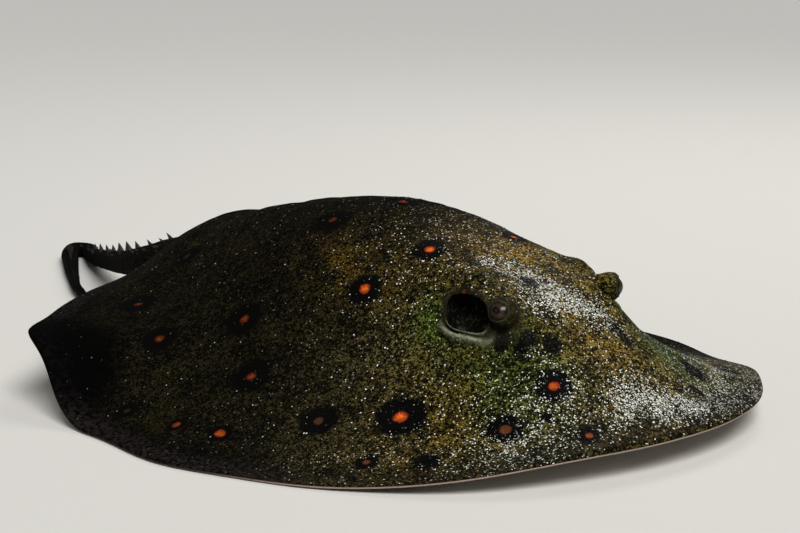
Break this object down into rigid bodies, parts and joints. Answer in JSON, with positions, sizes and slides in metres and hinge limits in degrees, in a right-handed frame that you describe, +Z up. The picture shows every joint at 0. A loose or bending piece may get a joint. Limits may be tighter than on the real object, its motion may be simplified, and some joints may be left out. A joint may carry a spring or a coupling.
{
  "type": "freshwater stingray",
  "caption": "Life-size ocellate freshwater stingray at rest: round arched disc, raised eyes and spiracles, tail with thorns, sting and finfolds curled behind.",
  "frame": {"origin": "on the floor under the middle of the disc, on the flat of the belly", "axes": "head towards -Y, tail towards +Y, the animal's left side towards +X, back up along +Z"},
  "size_m": [0.3642, 0.6154, 0.0974],
  "materials": {
    "head_skin": "wet olive skin with fine dark speckling and pale glinting denticles",
    "back_skin": "wet olive-brown skin with fine dark speckling and black-ringed orange eye spots",
    "tail_skin": "dark rough skin with a row of thorns",
    "sting": "dull bone-like dentine",
    "eye": "wet dark eyeball"
  },
  "bodies": {
    "root": {"snout": "head_skin", "head": "head_skin", "trunk_front": "back_skin", "trunk_rear": "back_skin", "pectoral_fin_left_front": "back_skin", "pectoral_fin_left_rear": "back_skin", "pectoral_fin_right_front": "back_skin", "pectoral_fin_right_rear": "back_skin", "pelvic_fin_left": "back_skin", "pelvic_fin_right": "back_skin", "tail_base": "tail_skin", "tail_middle": "tail_skin", "tail_end": "tail_skin", "tail_fold_upper": "tail_skin", "tail_fold_lower": "tail_skin", "tail_sting": "sting", "eye_left": "eye", "eye_right": "eye"}
  },
  "joints": []
}
